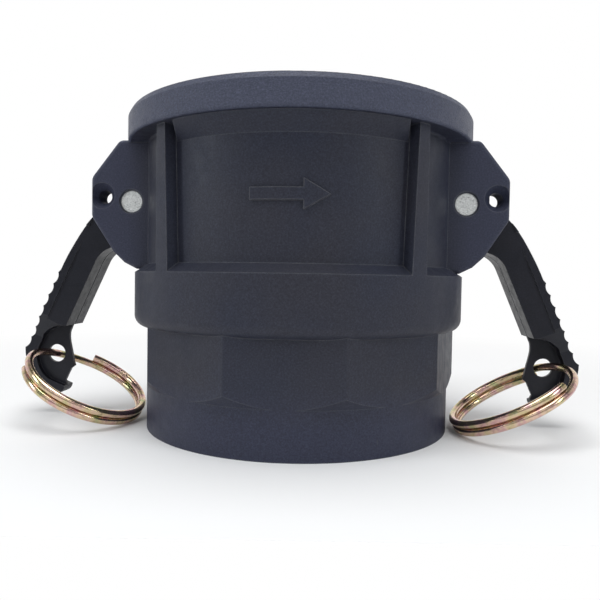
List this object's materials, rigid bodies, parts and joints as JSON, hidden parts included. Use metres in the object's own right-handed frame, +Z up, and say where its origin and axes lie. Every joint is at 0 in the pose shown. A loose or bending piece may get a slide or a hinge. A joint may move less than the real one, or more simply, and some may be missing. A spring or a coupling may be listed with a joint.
{
  "type": "camlock coupling",
  "caption": "Female cam-and-groove hose coupling: a socket with a gasket, cam levers with pull rings that grip a grooved adapter, and a female pipe thread at its foot.",
  "frame": {"origin": "centre of the body's flat bottom face, on the bore's axis", "axes": "+Z up along the bore towards the socket's mouth, X through the two cam levers, -Y the front that the rings hang towards"},
  "size_m": [0.1728, 0.1036, 0.0916],
  "materials": {
    "body_plastic": "dark grey glass-filled polypropylene with a fine moulded grain",
    "lever_plastic": "darker, smoother glass-filled plastic",
    "pin_steel": "bright steel with sheared ends",
    "ring_zinc": "yellow-passivated zinc plating on round steel wire",
    "gasket_rubber": "black nitrile rubber"
  },
  "bodies": {
    "housing": {"body": "body_plastic", "gasket": "gasket_rubber", "pin_left": "pin_steel", "pin_right": "pin_steel"},
    "lever_left": {"lever_left": "lever_plastic"},
    "lever_right": {"lever_right": "lever_plastic"},
    "ring_left": {"ring_left": "ring_zinc"},
    "ring_right": {"ring_right": "ring_zinc"}
  },
  "joints": [
    {"name": "lever_left_pivot", "type": "hinge", "parent": "housing", "child": "lever_left", "pos_m": [-0.0482, 0, 0.0662], "axis": [0, 1, 0], "range_deg": [0, 80]},
    {"name": "lever_right_pivot", "type": "hinge", "parent": "housing", "child": "lever_right", "pos_m": [0.0482, 0, 0.0662], "axis": [0, -1, 0], "range_deg": [0, 82]},
    {"name": "ring_left_swing", "type": "hinge", "parent": "lever_left", "child": "ring_left", "pos_m": [-0.07774, 0, 0.0192], "axis": [0, 1, 0], "range_deg": [0, 165]},
    {"name": "ring_right_swing", "type": "hinge", "parent": "lever_right", "child": "ring_right", "pos_m": [0.07609, 0, 0.01819], "axis": [0, -1, 0], "range_deg": [0, 165]}
  ]
}
